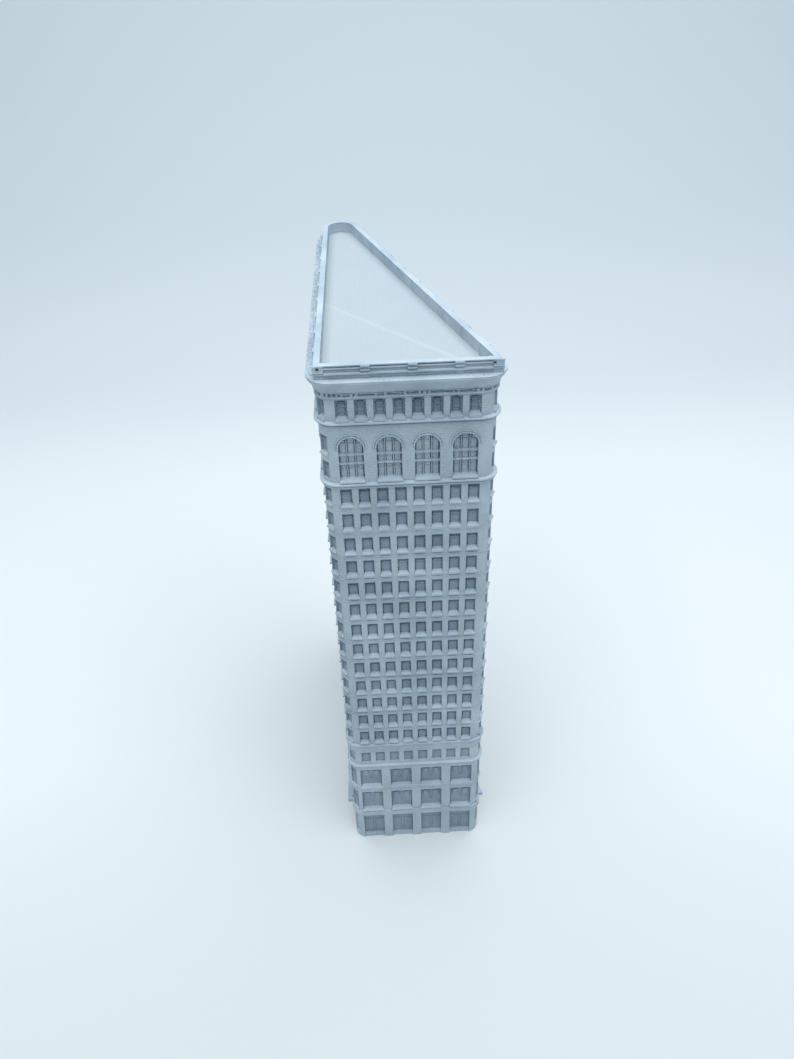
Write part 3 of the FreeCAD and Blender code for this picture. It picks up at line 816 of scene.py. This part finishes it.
def makeStrands():
    # loose threads of filament that sagged across the gaps between the teeth
    look = strands
    path = wallPath(look["proud"])
    total = pathLength(path)
    level = nodeLevel("dentil_band") + look["level"]
    count = look["points"]
    threads = bpy.data.curves.new("strandLine", "CURVE")
    threads.dimensions = "3D"
    threads.bevel_depth = look["thickness"] / 2 * mm
    threads.bevel_resolution = 1
    threads.resolution_u = 3
    threads.use_fill_caps = True
    distance = look["start"]
    while distance < total - look["length"][1]:
        span = dice.uniform(*look["length"])
        sag = dice.uniform(*look["sag"])
        line = threads.splines.new("NURBS")
        line.points.add(count - 1)
        for index in range(count):
            share = index / (count - 1)
            spot, out = alongPath(path, distance + span * share)
            height = level - sag * math.sin(math.pi * share) * dice.uniform(*look["sagShare"])
            line.points[index].co = (spot.x * mm, spot.y * mm, height * mm, 1)
        line.use_endpoint_u = True
        line.order_u = 3
        distance += span + dice.uniform(*look["gap"])
    strandPiece = bpy.data.objects.new("cornice_strands", threads)
    bpy.context.collection.objects.link(strandPiece)
    pickUp(strandPiece)
    bpy.ops.object.convert(target="MESH")
    return bpy.context.object


finishPiece(makeStrands())
print("dentils and strands laid")

# floor and backdrop, in metres
sweep = {
    "front": -1.3, "foot": 0.15, "radius": 0.5, "top": 1.3, "half": 1.5,
    "steps": 14, "edgeWithin": 1e-6, "smoothAngle": 40,
    # distance behind the model's middle, and the card's colour there: the darker ends are painted
    # shade, the middle the card's own colour
    "paintedShadeTones": ((-0.07, "#D9DCDB"), (0.03, "#E8EAE8"), (0.165, "#E8EAE8"), (0.27, "#D8DDDF"),
              (0.42, "#D0D7DA")),
    "mottleScale": 3.0, "mottleReach": 0.06,
}


def makeSweep():
    # one sheet of card: flat under the model, curving up behind it
    look = sweep
    clearSelection()
    bpy.ops.mesh.primitive_plane_add(size=1, location=(0, (look["front"] + look["foot"]) / 2, 0))
    card = bpy.context.object
    card.name = "backdrop_card"
    card.scale = (2 * look["half"], look["foot"] - look["front"], 1)
    bpy.ops.object.transform_apply(location=True, rotation=True, scale=True)
    radius, steps = look["radius"], look["steps"]
    for step in range(steps):
        selectNothing(card, "EDGE")
        reach = [v.co.y + v.co.z for v in card.data.vertices]
        far = max(reach)
        for edge in card.data.edges:
            edge.select = all(abs(reach[i] - far) < look["edgeWithin"] for i in edge.vertices)
        bpy.ops.object.mode_set(mode="EDIT")
        a, b = [math.pi / 2 * (step + s) / steps for s in (0, 1)]
        move = (0, radius * (math.sin(b) - math.sin(a)), radius * (math.cos(a) - math.cos(b)))
        bpy.ops.mesh.extrude_region_move(TRANSFORM_OT_translate={"value": move})
        if step == steps - 1:
            bpy.ops.mesh.extrude_region_move(
                TRANSFORM_OT_translate={"value": (0, 0, look["top"] - radius)})
        bpy.ops.object.mode_set(mode="OBJECT")
    bpy.ops.object.shade_smooth_by_angle(angle=math.radians(look["smoothAngle"]))
    return card


def cardFinishWithPaintedShade(look):
    # Matt uncoated background card, pale where the model stands; the darker tone in front of the
    # model and where the card curves up behind is painted shade of the lamp's falloff
    material, tree = newMaterial("backdropCardPaintedShade")
    (first, firstTone), (last, lastTone) = look["paintedShadeTones"][0], look["paintedShadeTones"][-1]
    place = addNode(tree, "ShaderNodeTexCoord").outputs["Object"]
    parts = addNode(tree, "ShaderNodeSeparateXYZ", links={"Vector": place})
    mottle = addNode(tree, "ShaderNodeTexNoise",
                     sockets={"Scale": look["mottleScale"], "Detail": 2.0},
                     links={"Vector": place})
    drift = addNode(tree, "ShaderNodeMath", settings={"operation": "MULTIPLY_ADD"},
                    sockets={1: look["mottleReach"]},
                    links={0: mottle.outputs["Fac"], 2: parts.outputs["Y"]})
    depth = addNode(tree, "ShaderNodeMapRange", sockets={"From Min": first, "From Max": last},
                    links={"Value": drift.outputs[0]})
    tint = addNode(tree, "ShaderNodeValToRGB", links={"Fac": depth.outputs["Result"]})
    ramp = tint.color_ramp
    ramp.interpolation = "EASE"
    ramp.elements[0].color = hexColour(firstTone)
    ramp.elements[1].color = hexColour(lastTone)
    for back, tone in look["paintedShadeTones"][1:-1]:
        ramp.elements.new((back - first) / (last - first)).color = hexColour(tone)
    surface = addNode(tree, "ShaderNodeBsdfPrincipled",
                      sockets={"Roughness": 0.9, "IOR": 1.45, "Specular IOR Level": 0.2},
                      links={"Base Color": tint.outputs["Color"]})
    addNode(tree, "ShaderNodeOutputMaterial", links={"Surface": surface.outputs["BSDF"]})
    return material


card = makeSweep()
card.data.materials.append(cardFinishWithPaintedShade(sweep))

# light, in metres and degrees
overheadPanel = {"place": (0.022, -0.07, 0.66), "aim": (0.02, -0.02, 0), "size": 0.85,
                 "spread": 180, "power": 5.85, "colour": "#F4F9FF"}
clearSelection()
bpy.ops.object.light_add(type="AREA", location=overheadPanel["place"])
lamp = bpy.context.object
lamp.name = "overheadPanel"
lamp.data.size = overheadPanel["size"]
lamp.data.spread = math.radians(overheadPanel["spread"])
lamp.data.energy = overheadPanel["power"]
lamp.data.color = hexColour(overheadPanel["colour"])[:3]
aim = Vector(overheadPanel["aim"]) - Vector(overheadPanel["place"])
lamp.rotation_euler = aim.to_track_quat("-Z", "Y").to_euler()

softRoom = {"colour": "#CFE2F0", "strength": 0.47}
world = bpy.data.worlds.new("softRoom")
bpy.context.scene.world = world
world.use_nodes = True
background = world.node_tree.nodes["Background"]
background.inputs["Color"].default_value = hexColour(softRoom["colour"])
background.inputs["Strength"].default_value = softRoom["strength"]
bpy.context.scene.view_settings.view_transform = "Standard"
print("lit")
